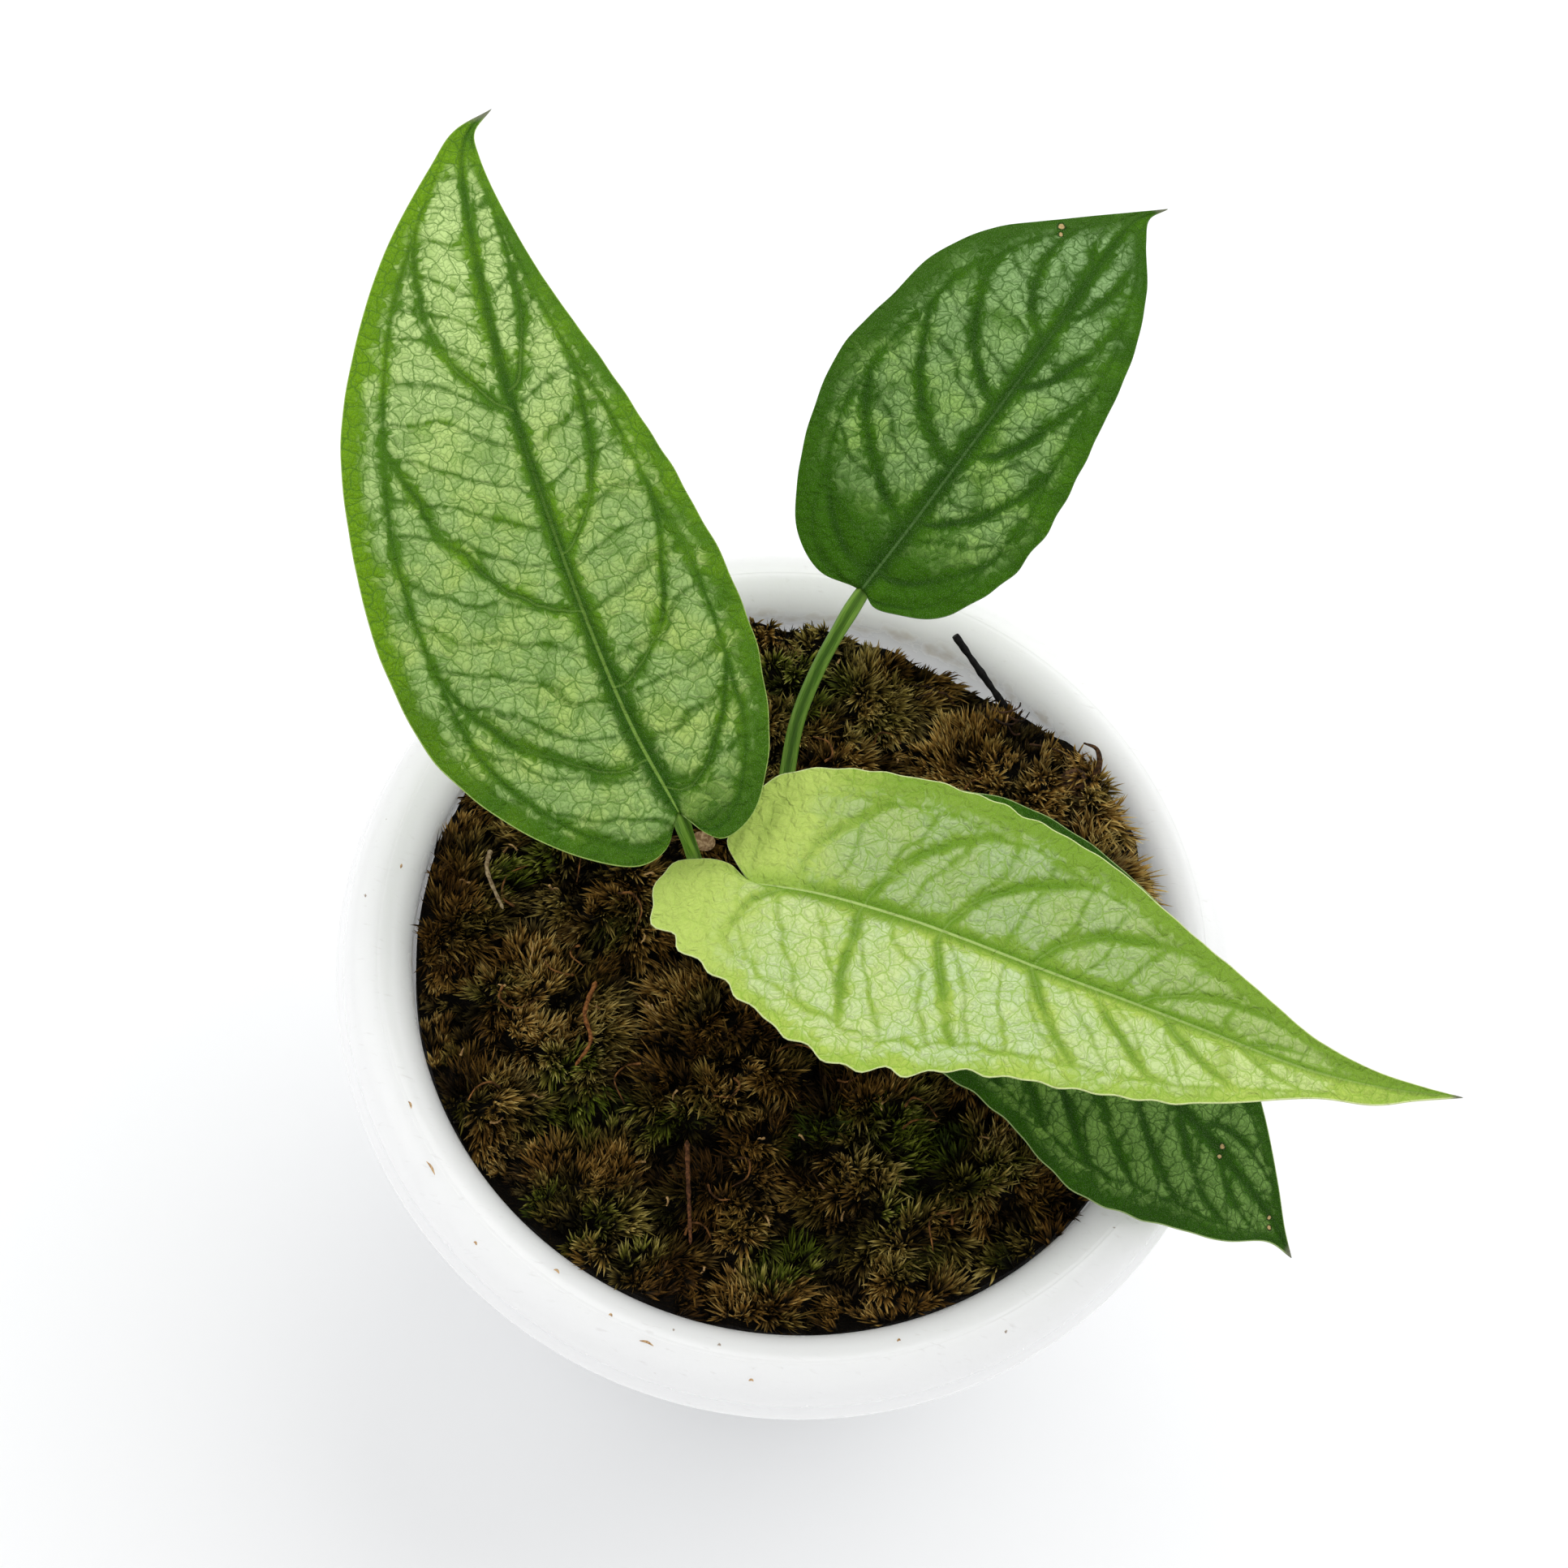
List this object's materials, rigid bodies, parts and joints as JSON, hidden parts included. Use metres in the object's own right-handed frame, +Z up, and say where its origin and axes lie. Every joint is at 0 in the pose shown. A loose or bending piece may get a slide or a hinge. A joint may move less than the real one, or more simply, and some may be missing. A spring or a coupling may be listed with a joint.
{
  "type": "potted monstera siltepecana",
  "caption": "Young climbing aroid with silver-patterned, dark-veined heart-based leaves on channelled stalks, in a round white rolled-rim pot with moss over the soil.",
  "frame": {"origin": "centre of the pot's flat base", "axes": "+Z up along the pot's axis; +X towards the tip of the youngest leaf; +Y towards the back leaf"},
  "size_m": [0.1986, 0.1975, 0.1797],
  "materials": {
    "pot": "smooth moulded white with a soft gloss",
    "soil": "coarse moist potting mix",
    "stem": "satin living stem and roots",
    "petiole": "satin living tissue, finely ribbed",
    "leaf_silver": "satin, pale silver-green panels between dark green veins",
    "leaf_dark": "satin, dark green with paler panels between the veins",
    "leaf_young": "satin, yellow-green with mint panels between the veins",
    "dark_wood": "matt, nearly black",
    "twig": "matt dry twig",
    "bark": "rough dry bark",
    "bark_pale": "rough split bark",
    "moss": "matt brown-olive cushion moss"
  },
  "bodies": {
    "root": {"pot": "pot", "soil": "soil", "stem": "stem", "petiole_left": "petiole", "petiole_back": "petiole", "petiole_newest": "petiole", "petiole_low": "petiole", "leaf_left": "leaf_silver", "leaf_back": "leaf_dark", "leaf_newest": "leaf_young", "leaf_low": "leaf_dark", "black_stick": "dark_wood", "twig_red": "twig", "twig_dark": "twig", "twig_pale": "twig", "bark_curl": "bark", "bark_chip": "bark_pale", "moss": "moss"}
  },
  "joints": []
}
